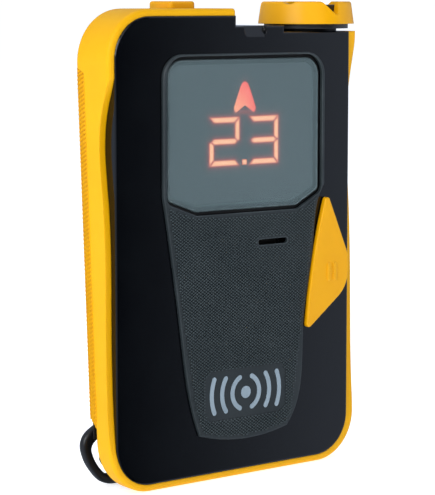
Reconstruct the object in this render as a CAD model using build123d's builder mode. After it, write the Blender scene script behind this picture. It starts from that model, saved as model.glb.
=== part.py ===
from build123d import *
from math import asin, degrees
import os

# Pocket avalanche transceiver, in millimetres.
# +X is to the right as the display is read, +Y points to the back and +Z is up.
# The origin is the centre of the flat back that the case lies on.

# Driving dimensions: the case
case_width = 72.0
case_height = 110.0
case_depth = 26.0
corner_radius = 9.9
wall = 2.0
front_y = -case_depth
inner_front_y = front_y + wall
back_wall = 3.0
parting_y = -15.6
parting_slope = 0.0525
gasket_depth = 0.8
bumper_thickness = 1.7
bumper_right_thickness = 2.7
bumper_front_radius = 11.6
bumper_rear_radius = 13.4
bumper_front_y = front_y + 0.4
rear_rim = 1.0
rear_rim_radius = 12.6
rail_proud = 0.4
rail_depth = 1.3
rear_flat_width = 53.0
rear_flat_x = 1.5
rear_flat_bottom = -47.5
rear_flat_top = 51.5
rear_flat_radius = 10.5
relief_top = -44.0

# The notch in the top right corner that the power knob stands in
shelf_left = -0.3
shelf_z = 52.5
floor_left = 14.7
floor_z = 51.0

# The window and the raised grip panel around it
window_left = -21.3
window_right = 25.5
window_top = 44.8
window_groove = 0.8
window_ledge = 1.2
window_thickness = 0.8
window_front_y = front_y - 0.35
seal_thickness = 0.25
panel_height = 0.9
panel_front_y = front_y - panel_height

# The power knob and its switch
knob_x = 30.0
knob_y = -16.3
knob_radius = 12.0
knob_bottom = 52.8
knob_top = 58.3
knob_bore = 9.4
knob_disc_radius = 10.5
knob_disc_bottom = 51.65
shaft_radius = 2.0
running_gap = 0.06
collar_radius = 7.6
collar_height = 0.6

# The search trigger
trigger_gap = 0.3
trigger_height = 1.6
trigger_travel = 3.0
stem_z = -8.0

# The option button
button_x = -10.1
button_y = -13.5
button_width = 7.8
button_depth = 9.0
button_top = 58.4
button_gap = 0.3

# Three AAA cells side by side, and the door over them
cell_radius = 5.25
cell_length = 44.5
cell_pitch = 11.1
cell_y = -8.6
bay_half_width = 16.8
bay_bottom = -39.6
bay_top = 8.9
bay_floor_y = -14.1
tray_wall = 1.0
door_half_width = 18.5
door_top = 10.6
door_thickness = 1.4
door_gap = 0.3
hinge_y = -1.1
hinge_z = -43.2
hinge_radius = 1.1
tab_half_width = 4.5
tab_top = 18.8
door_screw_z = 14.8

# Case screws, circuit board and aerials
case_screw_places = [(-21, 44.5), (21, 44.5), (-21, -3), (21, -3)]
board_front_y = -19.0
board_thickness = 1.2

os.makedirs("parts", exist_ok=True)

parting = Plane(origin=(0, parting_y, 0), x_dir=(1, 0, 0), z_dir=(0, -1, parting_slope))


def at_depth(y):
    """Sketch plane at depth y: X across, Z up, and extrusions run towards the front."""
    return Plane.XZ.offset(-y)


def knob_plane(z):
    """Level sketch plane at height z, centred on the knob's axis."""
    return Plane(origin=(knob_x, knob_y, z))


def notch(inset, mode=Mode.SUBTRACT):
    """The knob's notch, with its shelf and floor lowered and moved left by inset."""
    for left, bottom in ((shelf_left, shelf_z), (floor_left, floor_z)):
        with Locations((left - inset, bottom - inset)):
            Rectangle(80, 30, align=(Align.MIN, Align.MIN), mode=mode)


def case_outline(inset, notched=True):
    """Front view of the hard case, drawn inset from its edge. The knob's corner is square."""
    Rectangle(case_width - 2 * inset, case_height - 2 * inset)
    corners = vertices().sort_by(lambda corner: corner.X + corner.Y)
    fillet(corners[:3], corner_radius - inset)
    if notched:
        notch(inset)


def window_outline(grow):
    """Outline of the window pane, drawn larger by grow. Its two lower corners slope."""
    Polygon(
        (window_left, window_top),
        (window_left, 11.9),
        (-12.9, 8.8),
        (18.3, 8.6),
        (window_right, 12.3),
        (window_right, window_top),
        align=None,
    )
    fillet(vertices().sort_by(Axis.Y)[-2:], 4.3)
    fillet(vertices().sort_by(Axis.Y)[:4], 1.5)
    if grow:
        offset(amount=grow, mode=Mode.REPLACE)


def bay_outline(grow, mode=Mode.ADD):
    """Inside of the battery bay seen from the back, drawn larger by grow."""
    with Locations((0, (bay_top + bay_bottom) / 2)):
        Rectangle(2 * (bay_half_width + grow), bay_top - bay_bottom + 2 * grow, mode=mode)


def door_outline(grow):
    """Outline of the battery door: a plate above the hinge line with a tab for its screw."""
    height = door_top - hinge_z + grow
    with Locations((0, hinge_z)):
        Rectangle(2 * (door_half_width + grow), height, align=(Align.CENTER, Align.MIN))
        Rectangle(2 * (tab_half_width + grow), tab_top - hinge_z + grow, align=(Align.CENTER, Align.MIN))


def loop_relief(shift):
    """Plan view of the corner cut away behind the leash loop, moved inwards by shift."""
    Polygon((-13.0 + shift, 10.0), (-41.2 + shift, -25.0), (-60.0, -25.0), (-60.0, 10.0), align=None)


def button_opening():
    """Plan view of the hole that the option button moves in."""
    with Locations((button_x, button_y)):
        Rectangle(button_width + 2 * button_gap, button_depth + 2 * button_gap)


def segment_lines(left, bottom, names):
    """Lit bars of one seven-segment digit, as separate faces with hairline gaps between them."""
    width, height, bar, gap = 9.2, 11.6, 1.3, 0.12
    right, top, middle = left + width, bottom + height, bottom + height / 2
    half = bar / 2
    bars = {
        "a": [
            (left + gap, top),
            (right - gap, top),
            (right - bar - gap, top - bar),
            (left + bar + gap, top - bar),
        ],
        "d": [
            (left + gap, bottom),
            (left + bar + gap, bottom + bar),
            (right - bar - gap, bottom + bar),
            (right - gap, bottom),
        ],
        "g": [
            (left + half, middle),
            (left + bar + gap, middle + half),
            (right - bar - gap, middle + half),
            (right - half, middle),
            (right - bar - gap, middle - half),
            (left + bar + gap, middle - half),
        ],
        "b": [
            (right, top - gap),
            (right, middle + gap),
            (right - half, middle + gap),
            (right - bar, middle + half + gap),
            (right - bar, top - bar - gap),
        ],
        "c": [
            (right, bottom + gap),
            (right - bar, bottom + bar + gap),
            (right - bar, middle - half - gap),
            (right - half, middle - gap),
            (right, middle - gap),
        ],
        "e": [
            (left, bottom + gap),
            (left, middle - gap),
            (left + half, middle - gap),
            (left + bar, middle - half - gap),
            (left + bar, bottom + bar + gap),
        ],
    }
    for name in names:
        Polygon(*bars[name], align=None)


# The leash loop is a D-shaped ring at the lower left corner, its straight leg set in the rear shell.
with BuildPart() as leash_loop:
    with BuildSketch(at_depth(-13.2)):
        Polygon(
            (-29.2, -40.4),
            (-33.8, -41.2),
            (-37.5, -43.3),
            (-38.6, -46.2),
            (-37.0, -50.6),
            (-33.4, -55.0),
            (-30.5, -56.3),
            (-26.2, -56.4),
            (-25.4, -52.8),
            (-27.8, -46.0),
            align=None,
        )
        fillet(vertices(), 1.2)
        Polygon(
            (-36.0, -46.4),
            (-34.6, -50.2),
            (-31.6, -53.8),
            (-28.4, -53.4),
            (-29.4, -47.2),
            (-32.4, -43.8),
            align=None,
            mode=Mode.SUBTRACT,
        )
    extrude(amount=2.2)
leash_loop.part.label = "leash_loop"
export_step(leash_loop.part, "parts/leash_loop.step")

# Thumb scoop in the front's top edge, with a floor that slopes back as it rises.
with BuildPart() as thumb_scoop:
    with BuildSketch(at_depth(front_y + 2.5)):
        with Locations((5.6, shelf_z)):
            RectangleRounded(7.0, 5.4, 1.8)
    extrude(amount=5)
    split(
        bisect_by=Plane(origin=(0, front_y, 49.9), x_dir=(1, 0, 0), z_dir=(0, -1, 0.55)),
        keep=Keep.TOP,
    )

# Front shell: a deep tray with the display opening, cut off along the sloping parting plane.
with BuildPart() as front_shell:
    with BuildSketch(at_depth(-8)):
        case_outline(0)
    extrude(amount=case_depth - 8)
    front_edges = faces().sort_by(Axis.Y)[0].outer_wire().edges()
    fillet(front_edges, 0.5)
    with BuildSketch(at_depth(-8)):
        case_outline(wall)
    extrude(amount=case_depth - 8 - wall, mode=Mode.SUBTRACT)
    with BuildSketch(at_depth(-8)):
        with Locations(*case_screw_places):
            Circle(2.4)
    extrude(amount=case_depth - 8 - wall)
    split(bisect_by=parting, keep=Keep.TOP)
    with BuildSketch(at_depth(-8)):
        with Locations(*case_screw_places):
            Circle(1.0)
    extrude(amount=12.2, mode=Mode.SUBTRACT)
    # Rebate and opening of the window
    with BuildSketch(at_depth(front_y + 0.7)):
        window_outline(window_groove)
    extrude(amount=2, mode=Mode.SUBTRACT)
    with BuildSketch(at_depth(inner_front_y + 0.01)):
        window_outline(-window_ledge)
    extrude(amount=3, mode=Mode.SUBTRACT)
    # Sound slot, slot of the trigger's stem, and the thumb scoop in the top edge
    with BuildSketch(at_depth(inner_front_y + 0.01)):
        with Locations((10.5, 0.35)):
            SlotOverall(9.4, 1.4)
        with Locations((30.0, stem_z)):
            Rectangle(6.8, 5.6)
    extrude(amount=3, mode=Mode.SUBTRACT)
    add(thumb_scoop.part, mode=Mode.SUBTRACT)
    # Hole of the knob's shaft, and the opening of the option button
    with BuildSketch(knob_plane(45)):
        Circle(2.4)
    extrude(amount=8, mode=Mode.SUBTRACT)
    with BuildSketch(Plane.XY.offset(48)):
        button_opening()
    extrude(amount=12, mode=Mode.SUBTRACT)
front_shell.part.label = "front_shell"
export_step(front_shell.part, "parts/front_shell.step")

# The rear shell's outer form narrows from the parting plane to the flat back.
rear_flat_height = rear_flat_top - rear_flat_bottom
rear_flat_centre = (rear_flat_top + rear_flat_bottom) / 2
with BuildPart() as rear_block:
    with BuildSketch(parting):
        RectangleRounded(case_width + 2 * rear_rim, (case_height + 2 * rear_rim) * 1.0015, rear_rim_radius)
    with BuildSketch(Plane.XZ):
        with Locations((rear_flat_x, rear_flat_centre)):
            RectangleRounded(rear_flat_width, rear_flat_height, rear_flat_radius)
    loft()
    fillet(faces().sort_by(Axis.Y)[-1].edges(), 1.5)

with BuildPart() as rear_cavity:
    with BuildSketch(parting):
        RectangleRounded(case_width - 2 * wall, (case_height - 2 * wall) * 1.0015, corner_radius - wall)
    with BuildSketch(at_depth(-back_wall)):
        with Locations((rear_flat_x, rear_flat_centre)):
            RectangleRounded(rear_flat_width - 1.0, rear_flat_height - 2.5, rear_flat_radius - 2.6)
    loft()
    with BuildSketch(Plane.XZ):
        notch(wall, Mode.ADD)
    extrude(amount=case_depth, mode=Mode.SUBTRACT)
    with BuildSketch(Plane.XY.offset(relief_top + wall)):
        loop_relief(wall)
    extrude(amount=-20, mode=Mode.SUBTRACT)

# Gasket between the shells, lying in a groove of the rear shell's rim.
with BuildPart() as case_gasket:
    with BuildSketch(at_depth(-8)):
        case_outline(0.5)
    extrude(amount=14)
    with BuildSketch(at_depth(-8)):
        case_outline(1.5)
    extrude(amount=14, mode=Mode.SUBTRACT)
    split(bisect_by=parting, keep=Keep.BOTTOM)
    split(bisect_by=parting.offset(-gasket_depth), keep=Keep.TOP)
    with BuildSketch(Plane.XY.offset(48)):
        button_opening()
    extrude(amount=12, mode=Mode.SUBTRACT)
case_gasket.part.label = "case_gasket"
export_step(case_gasket.part, "parts/case_gasket.step")

with BuildPart() as rear_shell:
    add(rear_block.part)
    add(rear_cavity.part, mode=Mode.SUBTRACT)
    # Screw posts, and the block that the door's screw enters
    with BuildSketch(at_depth(-back_wall)):
        with Locations(*case_screw_places):
            Circle(3.0)
    extrude(amount=16)
    with BuildSketch(at_depth(-back_wall)):
        with Locations((0, door_screw_z)):
            Circle(4.2)
    extrude(amount=4.5)
    split(bisect_by=parting, keep=Keep.BOTTOM)
    # The relief behind the leash loop, the knob's notch and the option button's opening
    with BuildSketch(Plane.XY.offset(relief_top)):
        loop_relief(0)
    extrude(amount=-20, mode=Mode.SUBTRACT)
    with BuildSketch(Plane.XZ):
        notch(0, Mode.ADD)
    extrude(amount=case_depth, mode=Mode.SUBTRACT)
    with BuildSketch(Plane.XY.offset(48)):
        button_opening()
    extrude(amount=12, mode=Mode.SUBTRACT)
    # Screw holes with their head recesses
    with BuildSketch(Plane.XZ):
        with Locations(*case_screw_places):
            Circle(1.3)
    extrude(amount=20, mode=Mode.SUBTRACT)
    with BuildSketch(Plane.XZ):
        with Locations(*case_screw_places):
            Circle(2.4)
    extrude(amount=2.2, mode=Mode.SUBTRACT)
    # Battery opening, with the seat and the groove around it
    with BuildSketch(Plane.XZ):
        bay_outline(0)
    extrude(amount=back_wall, mode=Mode.SUBTRACT)
    with BuildSketch(Plane.XZ):
        door_outline(door_gap)
    extrude(amount=door_thickness + 0.1, mode=Mode.SUBTRACT)
    with BuildSketch(Plane.XZ):
        bay_outline(1.1)
        bay_outline(0.3, Mode.SUBTRACT)
    extrude(amount=2.2, mode=Mode.SUBTRACT)
    # Trough of the door's hinge barrel, its pin holes, and the screw's pocket and hole
    with BuildSketch(Plane.YZ.offset(-door_half_width - door_gap)):
        with Locations((0, hinge_z)):
            Rectangle(5.2, 3.0)
    extrude(amount=2 * (door_half_width + door_gap), mode=Mode.SUBTRACT)
    with BuildSketch(Plane.YZ.offset(-20.8)):
        with Locations((hinge_y, hinge_z)):
            Circle(0.5)
    extrude(amount=41.6, mode=Mode.SUBTRACT)
    with BuildSketch(Plane.XZ):
        with Locations((0, door_screw_z)):
            Circle(3.4)
    extrude(amount=2.8, mode=Mode.SUBTRACT)
    with BuildSketch(Plane.XZ):
        with Locations((0, door_screw_z)):
            Circle(1.75)
    extrude(amount=6.2, mode=Mode.SUBTRACT)
    add(case_gasket.part, mode=Mode.SUBTRACT)
    add(leash_loop.part, mode=Mode.SUBTRACT)
rear_shell.part.label = "rear_shell"
export_step(rear_shell.part, "parts/rear_shell.step")


def bumper_outline(radius):
    """Front view of the bumper's outside. It is thicker on the knob's side."""
    left = -case_width / 2 - bumper_thickness
    right = case_width / 2 + bumper_right_thickness
    high = case_height / 2 + bumper_thickness
    Polygon((left, -high), (right, -high), (right, high), (left, high), align=None)
    corners = vertices().sort_by(lambda corner: corner.X + corner.Y)
    fillet(corners[:3], radius)


def rail_outline():
    """Side view of the ribbed strip along the bumper's rear edge."""
    Polygon(
        (parting_y + parting_slope * rail_top, rail_top),
        (rail_front_y + parting_slope * rail_top, rail_top - 1.0),
        (rail_front_y + parting_slope * rail_bottom, rail_bottom - 2.4),
        (parting_y + parting_slope * rail_bottom, rail_bottom),
        align=None,
    )


# Grip rails: ribbed rubber strips let into the bumper along the rear of both its sides.
rail_top = 43.0
rail_bottom = -39.0
rail_front_y = parting_y - 2.5
left_rail_face = -case_width / 2 - bumper_thickness - rail_proud
right_rail_face = case_width / 2 + bumper_right_thickness + rail_proud
rail_faces = (left_rail_face, right_rail_face)
for rail_face, name in zip(rail_faces, ("left_grip_rail", "right_grip_rail")):
    inward = -1 if rail_face > 0 else 1
    with BuildPart() as grip_rail:
        with BuildSketch(Plane.YZ.offset(rail_face)):
            rail_outline()
        extrude(amount=inward * rail_depth)
    grip_rail.part.label = name
    export_step(grip_rail.part, f"parts/{name}.step")

# Wave of the bumper's front edge on each side: how far back it falls, at each height.
bumper_edge = 0.95
wave_foot = [(-17.0, 2.0), (-41.0, 1.1), (-50.0, 0)]
left_wave = [(42.5, 0), (38.4, 1.2), (33.6, 2.9), (28.0, 3.95), (12.0, 2.8), *wave_foot]
right_wave = [(54.0, 0), (46.0, 1.5), (36.4, 3.4), (28.0, 4.2), (12.0, 3.2), *wave_foot]

# Rubber bumper: a band around the case. Its front edge falls back in a wave along both sides.
with BuildPart() as bumper:
    with BuildSketch(at_depth(bumper_front_y)):
        bumper_outline(bumper_front_radius)
    with BuildSketch(at_depth(-8)):
        bumper_outline(bumper_rear_radius)
    loft()
    outer_edges = faces().sort_by(Axis.Y)[0].outer_wire().edges()
    fillet(outer_edges, bumper_edge)
    with BuildSketch(at_depth(-8)):
        case_outline(0, notched=False)
    extrude(amount=20, mode=Mode.SUBTRACT)
    with BuildSketch(at_depth(-8)):
        with Locations((-0.5, floor_z)):
            Rectangle(80, 30, align=(Align.MIN, Align.MIN))
    extrude(amount=20, mode=Mode.SUBTRACT)
    split(bisect_by=parting, keep=Keep.TOP)
    for wave, start in ((left_wave, -50), (right_wave, 0)):
        high, low = wave[0][0], wave[-1][0]
        with BuildSketch(Plane.YZ.offset(start)):
            with BuildLine():
                Spline(*[(front_y + fall, height) for height, fall in wave])
                Polyline((front_y, low), (front_y - 2, low), (front_y - 2, high), (front_y, high))
            make_face()
        extrude(amount=50, mode=Mode.SUBTRACT)
    for rail_face in rail_faces:
        inward = -1 if rail_face > 0 else 1
        with BuildSketch(Plane.YZ.offset(rail_face)):
            rail_outline()
        extrude(amount=inward * rail_depth, mode=Mode.SUBTRACT)
    # The rear edge steps forward behind the leash loop
    with BuildSketch(Plane.YZ.offset(-50)):
        Polygon(
            (parting_y + parting_slope * rail_bottom, rail_bottom),
            (rail_front_y + parting_slope * rail_bottom, rail_bottom - 2.4),
            (rail_front_y + parting_slope * -60, -60.0),
            (0.0, -60.0),
            (0.0, rail_bottom),
            align=None,
        )
    extrude(amount=29, mode=Mode.SUBTRACT)
    with BuildSketch(Plane.XY.offset(48)):
        button_opening()
    extrude(amount=12, mode=Mode.SUBTRACT)
bumper.part.label = "bumper"
export_step(bumper.part, "parts/bumper.step")

# Grip panel: the raised rubber tongue on the front, with the display's bezel at its top.
with BuildPart() as grip_panel:
    with BuildSketch(at_depth(front_y)):
        with BuildLine():
            Polyline((-22.8, 13.0), (-22.8, 46.1), (27.2, 46.1), (27.2, 13.5))
            Spline((27.2, 13.5), (25.2, 9.7), (23.7, -0.6), (20.6, -20.8), (17.5, -42.6), (15.2, -45.8))
            Spline((15.2, -45.8), (1.4, -47.4), (-12.0, -45.2))
            Spline((-12.0, -45.2), (-14.3, -38.5), (-17.7, -18.8), (-20.6, 0.0), (-22.8, 13.0))
        make_face()
        fillet(vertices().sort_by(Axis.Y)[-2:], 5.7)
    extrude(amount=panel_height)
    panel_rim = faces().sort_by(Axis.Y)[0].outer_wire().edges()
    fillet(panel_rim, 0.35)
    with BuildSketch(at_depth(front_y + 1)):
        window_outline(window_groove)
    extrude(amount=4, mode=Mode.SUBTRACT)
    with BuildSketch(at_depth(front_y + 1)):
        with Locations((10.5, 0.35)):
            SlotOverall(9.4, 1.4)
    extrude(amount=4, mode=Mode.SUBTRACT)
grip_panel.part.label = "grip_panel"
export_step(grip_panel.part, "parts/grip_panel.step")

# Plain signal mark on the panel: a dot with three arcs on each side.
mark_place = (1.9, -35.9)
mark_arcs = []
for radius in (4.2, 7.4, 10.6):
    spread = degrees(asin(4.3 / (radius + 0.6)))
    for middle in (0, 180):
        mark_arcs.append(CenterArc(mark_place, radius, middle - spread, 2 * spread))
with BuildPart() as signal_mark:
    with BuildSketch(at_depth(panel_front_y)):
        with Locations(mark_place):
            Circle(1.5)
        for arc in mark_arcs:
            SlotArc(arc, height=1.2)
    extrude(amount=0.12)
signal_mark.part.label = "signal_mark"
export_step(signal_mark.part, "parts/signal_mark.step")

# Window pane and the black seal that it is bedded on.
with BuildPart() as window:
    with BuildSketch(at_depth(window_front_y + window_thickness)):
        window_outline(0)
    extrude(amount=window_thickness)
    chamfer(faces().sort_by(Axis.Y)[0].outer_wire().edges(), 0.3)
window.part.label = "window"
export_step(window.part, "parts/window.step")

with BuildPart() as window_seal:
    with BuildSketch(at_depth(window_front_y + window_thickness + seal_thickness)):
        window_outline(window_groove - 0.03)
    extrude(amount=seal_thickness)
    with BuildSketch(at_depth(-20)):
        window_outline(-window_ledge)
    extrude(amount=10, mode=Mode.SUBTRACT)
window_seal.part.label = "window_seal"
export_step(window_seal.part, "parts/window_seal.step")

# Display block, with the lit bars of its two digits and its lit direction arrow.
display_front_y = front_y + 0.95
with BuildPart() as display_module:
    with Locations((1.1, (display_front_y + board_front_y) / 2, 28.2)):
        Box(32.2, board_front_y - display_front_y, 28.6)
display_module.part.label = "display_module"
export_step(display_module.part, "parts/display_module.step")

with BuildPart() as digit_segments:
    with BuildSketch(at_depth(display_front_y)):
        segment_lines(-8.0, 19.3, "abged")
        segment_lines(4.2, 19.3, "abgcd")
        with Locations((2.8, 19.9)):
            Rectangle(1.2, 1.0)
    extrude(amount=0.2)
digit_segments.part.label = "digit_segments"
export_step(digit_segments.part, "parts/digit_segments.step")

with BuildPart() as arrow_light:
    with BuildSketch(at_depth(display_front_y)):
        Polygon((2.9, 39.3), (6.1, 31.9), (2.9, 33.4), (-0.3, 31.9), align=None)
    extrude(amount=0.2)
arrow_light.part.label = "arrow_light"
export_step(arrow_light.part, "parts/arrow_light.step")

# Circuit board, cleared for the knob's switch and drilled for the screw posts.
board_rear_y = board_front_y + board_thickness
with BuildPart() as circuit_board:
    with BuildSketch(at_depth(board_rear_y)):
        with Locations((0, -1.8)):
            RectangleRounded(63, 96.5, 6)
        with Locations((25.9, 29.5)):
            Rectangle(20, 30, align=(Align.MIN, Align.MIN), mode=Mode.SUBTRACT)
        with Locations(*case_screw_places):
            Circle(2.8, mode=Mode.SUBTRACT)
    extrude(amount=board_thickness)
circuit_board.part.label = "circuit_board"
export_step(circuit_board.part, "parts/circuit_board.step")

# Chips on the board's rear face: processor, radio amplifier and memory.
with BuildPart() as board_chips:
    for x, z, size in ((-8, 28, 9.0), (-21, 20, 6.0), (22, 16, 5.0)):
        with Locations((x, board_rear_y + 0.5, z)):
            Box(size, 1.0, size)
board_chips.part.label = "board_chips"
export_step(board_chips.part, "parts/board_chips.step")

# Loudspeaker behind the sound slot: a basket with its magnet, and the cone in front.
speaker_place = (9.0, -5.0)
with BuildPart() as speaker:
    with BuildSketch(at_depth(board_front_y)):
        with Locations(speaker_place):
            Circle(5.0)
    extrude(amount=1.6)
    with BuildSketch(at_depth(board_front_y - 1.6)):
        with Locations(speaker_place):
            Circle(8.5)
    extrude(amount=3.0)
    with BuildSketch(at_depth(board_front_y - 3.2)):
        with Locations(speaker_place):
            Circle(7.7)
    extrude(amount=1.4, mode=Mode.SUBTRACT)
speaker.part.label = "speaker"
export_step(speaker.part, "parts/speaker.step")

with BuildPart() as speaker_cone:
    with BuildSketch(at_depth(board_front_y - 3.2)):
        with Locations(speaker_place):
            Circle(7.7)
    extrude(amount=0.6)
    with BuildSketch(at_depth(board_front_y - 3.8)):
        with Locations(speaker_place):
            Circle(2.6)
    extrude(amount=0.5)
speaker_cone.part.label = "speaker_cone"
export_step(speaker_cone.part, "parts/speaker_cone.step")

# Three aerials at right angles. Each is a ferrite core in a wound coil.
aerials = {
    "length_aerial": (Plane((-26.8, -11.4, -12.0), z_dir=(0, 0, 1)), 1.7, 46.0, 2.4, 34.0),
    "cross_aerial": (Plane((-1.0, -9.0, 36.0), (0, 1, 0), (1, 0, 0)), 2.4, 44.0, 3.4, 32.0),
    "depth_aerial": (Plane((12.0, -10.6, 25.0), (1, 0, 0), (0, -1, 0)), 4.0, 6.4, 6.4, 5.0),
}
for name, (axis_plane, core_radius, core_length, coil_radius, coil_length) in aerials.items():
    with BuildPart() as core:
        with BuildSketch(axis_plane):
            Circle(core_radius)
        extrude(amount=core_length / 2, both=True)
    core.part.label = name + "_core"
    export_step(core.part, f"parts/{name}_core.step")
    with BuildPart() as coil:
        with BuildSketch(axis_plane):
            Circle(coil_radius)
            Circle(core_radius, mode=Mode.SUBTRACT)
        extrude(amount=coil_length / 2, both=True)
    coil.part.label = name + "_coil"
    export_step(coil.part, f"parts/{name}_coil.step")

# Battery tray, open to the back, with plates and springs at its ends.
with BuildPart() as battery_tray:
    with BuildSketch(at_depth(-back_wall)):
        bay_outline(tray_wall)
    extrude(amount=-back_wall - bay_floor_y + tray_wall)
    with BuildSketch(at_depth(-back_wall)):
        bay_outline(0)
    extrude(amount=-back_wall - bay_floor_y, mode=Mode.SUBTRACT)
battery_tray.part.label = "battery_tray"
export_step(battery_tray.part, "parts/battery_tray.step")

plate_thickness = 0.4
with BuildPart() as contact_plates:
    for z in (bay_bottom + plate_thickness / 2, bay_top - plate_thickness / 2):
        with Locations(*[(x * cell_pitch, cell_y, z) for x in (-1, 0, 1)]):
            Box(9.0, 8.0, plate_thickness)
contact_plates.part.label = "contact_plates"
export_step(contact_plates.part, "parts/contact_plates.step")

spring_length = bay_top - bay_bottom - 2 * plate_thickness - cell_length
cell_up = {"left_battery": (-1, True), "middle_battery": (0, False), "right_battery": (1, True)}
for name, (column, upright) in cell_up.items():
    nub_end = bay_top - plate_thickness if upright else bay_bottom + plate_thickness
    to_foot = -1 if upright else 1
    with BuildPart() as battery:
        with BuildSketch(Plane.XY.offset(nub_end)):
            with Locations((column * cell_pitch, cell_y)):
                Circle(1.9)
        extrude(amount=to_foot * 1.0)
        with BuildSketch(Plane.XY.offset(nub_end + to_foot * 0.9)):
            with Locations((column * cell_pitch, cell_y)):
                Circle(cell_radius)
        extrude(amount=to_foot * (cell_length - 0.9))
    battery.part.label = name
    export_step(battery.part, f"parts/{name}.step")

with BuildPart() as contact_springs:
    for column, upright in cell_up.values():
        seat = bay_bottom + plate_thickness if upright else bay_top - plate_thickness
        with BuildSketch(Plane.XY.offset(seat)):
            with Locations((column * cell_pitch, cell_y)):
                Circle(3.0)
                Circle(2.3, mode=Mode.SUBTRACT)
        extrude(amount=spring_length if upright else -spring_length)
contact_springs.part.label = "contact_springs"
export_step(contact_springs.part, "parts/contact_springs.step")

# Seal around the battery opening, lying in the groove of the rear shell.
with BuildPart() as door_seal:
    with BuildSketch(at_depth(-door_thickness - 0.1)):
        bay_outline(1.1)
        bay_outline(0.3, Mode.SUBTRACT)
    extrude(amount=0.7)
door_seal.part.label = "door_seal"
export_step(door_seal.part, "parts/door_seal.step")

# Battery door: a plate with a rounded hinge barrel along its lower edge and a tab for its screw.
with BuildPart() as battery_door:
    with BuildSketch(Plane.XZ):
        door_outline(0)
    extrude(amount=door_thickness)
    with BuildSketch(Plane.YZ.offset(-door_half_width)):
        with Locations((hinge_y, hinge_z)):
            Circle(hinge_radius)
    extrude(amount=2 * door_half_width)
    with BuildSketch(Plane.XZ):
        with Locations((0, door_screw_z)):
            Circle(3.0)
    extrude(amount=2.4)
    with BuildSketch(Plane.XZ):
        with Locations((0, door_screw_z)):
            Circle(2.55)
    extrude(amount=1.05, mode=Mode.SUBTRACT)
    with BuildSketch(Plane.XZ):
        with Locations((0, door_screw_z)):
            Circle(1.3)
    extrude(amount=5, mode=Mode.SUBTRACT)
    with BuildSketch(Plane.YZ.offset(-door_half_width)):
        with Locations((hinge_y, hinge_z)):
            Circle(0.55)
    extrude(amount=2 * door_half_width, mode=Mode.SUBTRACT)
    with BuildSketch(Plane.YZ.offset(-15)):
        with Locations((hinge_y, hinge_z)):
            Circle(0.6)
    extrude(amount=30)
battery_door.part.label = "battery_door"
export_step(battery_door.part, "parts/battery_door.step")

with BuildPart() as door_hinge_pins:
    for start in (-20.8, 15.0):
        with BuildSketch(Plane.YZ.offset(start)):
            with Locations((hinge_y, hinge_z)):
                Circle(0.5)
        extrude(amount=5.8)
door_hinge_pins.part.label = "door_hinge_pins"
export_step(door_hinge_pins.part, "parts/door_hinge_pins.step")

with BuildPart() as door_screw:
    with BuildSketch(at_depth(-0.05)):
        with Locations((0, door_screw_z)):
            Circle(2.45)
    extrude(amount=1.0)
    with BuildSketch(at_depth(-0.5)):
        with Locations((0, door_screw_z)):
            Circle(1.25)
    extrude(amount=5.0)
    with BuildSketch(at_depth(-0.05)):
        with Locations((0, door_screw_z)):
            Rectangle(4.4, 0.8)
    extrude(amount=0.5, mode=Mode.SUBTRACT)
door_screw.part.label = "door_screw"
export_step(door_screw.part, "parts/door_screw.step")

# Case screws, in recesses in the back. One group of four.
with BuildPart() as case_screws:
    for place in case_screw_places:
        with BuildSketch(at_depth(-0.9)):
            with Locations(place):
                Circle(2.1)
        extrude(amount=1.3)
        with BuildSketch(at_depth(-2.1)):
            with Locations(place):
                Circle(1.0)
        extrude(amount=17.0)
        with BuildSketch(at_depth(-0.9)):
            with Locations(place):
                Rectangle(2.6, 0.6)
                Rectangle(0.6, 2.6)
        extrude(amount=0.8, mode=Mode.SUBTRACT)
case_screws.part.label = "case_screws"
export_step(case_screws.part, "parts/case_screws.step")

# Collar that the knob's shaft comes out of, standing on the floor of the notch.
with BuildPart() as knob_collar:
    with BuildSketch(knob_plane(floor_z)):
        Circle(collar_radius)
        Circle(shaft_radius + running_gap, mode=Mode.SUBTRACT)
    extrude(amount=collar_height)
knob_collar.part.label = "knob_collar"
export_step(knob_collar.part, "parts/knob_collar.step")

# Knob: a black hub with a wide disc, and a yellow cap ring around it with a wavy edge.
shaft_top = 55.0
hub_top = 57.5
screw_seat = 56.4
with BuildPart() as knob_hub:
    with BuildSketch(knob_plane(knob_disc_bottom)):
        Circle(knob_disc_radius)
    extrude(amount=knob_bottom - knob_disc_bottom)
    with BuildSketch(knob_plane(knob_bottom)):
        Circle(knob_bore)
    extrude(amount=hub_top - knob_bottom)
    fillet(faces().sort_by(Axis.Z)[-1].edges(), 0.4)
    with BuildSketch(knob_plane(screw_seat)):
        Circle(3.0)
    extrude(amount=2.0, mode=Mode.SUBTRACT)
    with BuildSketch(knob_plane(knob_disc_bottom)):
        Circle(collar_radius + 0.5)
    extrude(amount=0.65, mode=Mode.SUBTRACT)
    with BuildSketch(knob_plane(knob_disc_bottom)):
        Circle(shaft_radius)
    extrude(amount=shaft_top - knob_disc_bottom, mode=Mode.SUBTRACT)
    with BuildSketch(knob_plane(knob_disc_bottom)):
        Circle(0.9)
    extrude(amount=10, mode=Mode.SUBTRACT)
knob_hub.part.label = "knob_hub"
export_step(knob_hub.part, "parts/knob_hub.step")

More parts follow.
